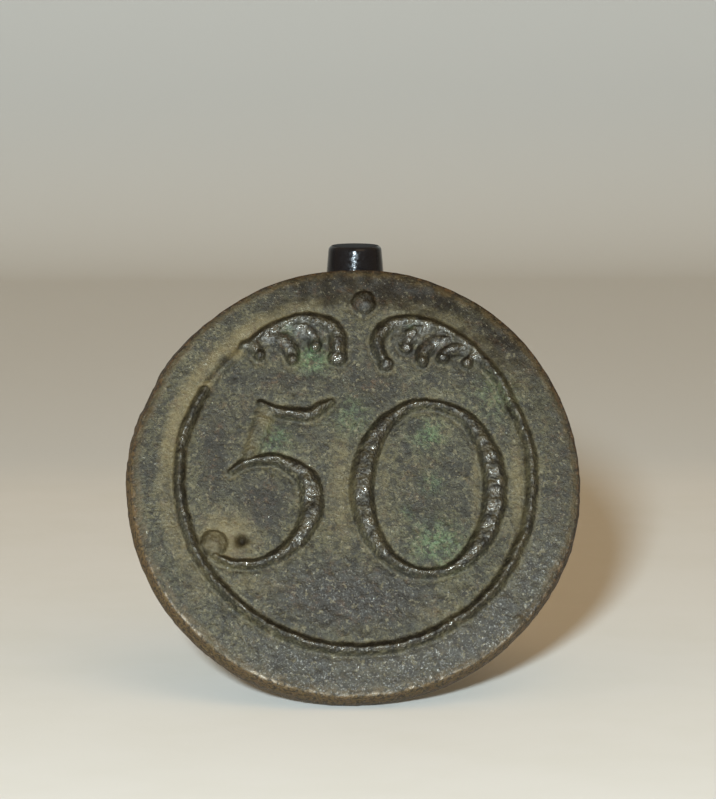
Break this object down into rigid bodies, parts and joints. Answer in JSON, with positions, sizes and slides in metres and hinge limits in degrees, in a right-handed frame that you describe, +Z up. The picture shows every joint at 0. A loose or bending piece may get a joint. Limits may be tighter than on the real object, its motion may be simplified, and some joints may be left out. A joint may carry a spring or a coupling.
{
  "type": "transit token",
  "caption": "Worn cast bronze fare token with a raised denomination in a scrolled ring, leaning back on a small black display peg.",
  "frame": {"origin": "centre of the whole part's footprint, on the surface that the peg's foot and the token's lower edge stand on", "axes": "+Z up; the token's face looks towards -Y and up, and the peg stands behind it at +Y; +X to the right of someone looking at the face"},
  "size_m": [0.0252, 0.0192, 0.0245],
  "materials": {
    "patinated_bronze": "granular cast bronze, slate and olive patina, brown worn side",
    "black_plastic": "polished"
  },
  "bodies": {
    "stand": {"support_peg": "black_plastic"},
    "token": {"token_disc": "patinated_bronze"}
  },
  "joints": [
    {"name": "token_lift", "type": "slide", "parent": "stand", "child": "token", "axis": [0, 0, 1], "range_m": [0, 0.04]}
  ]
}
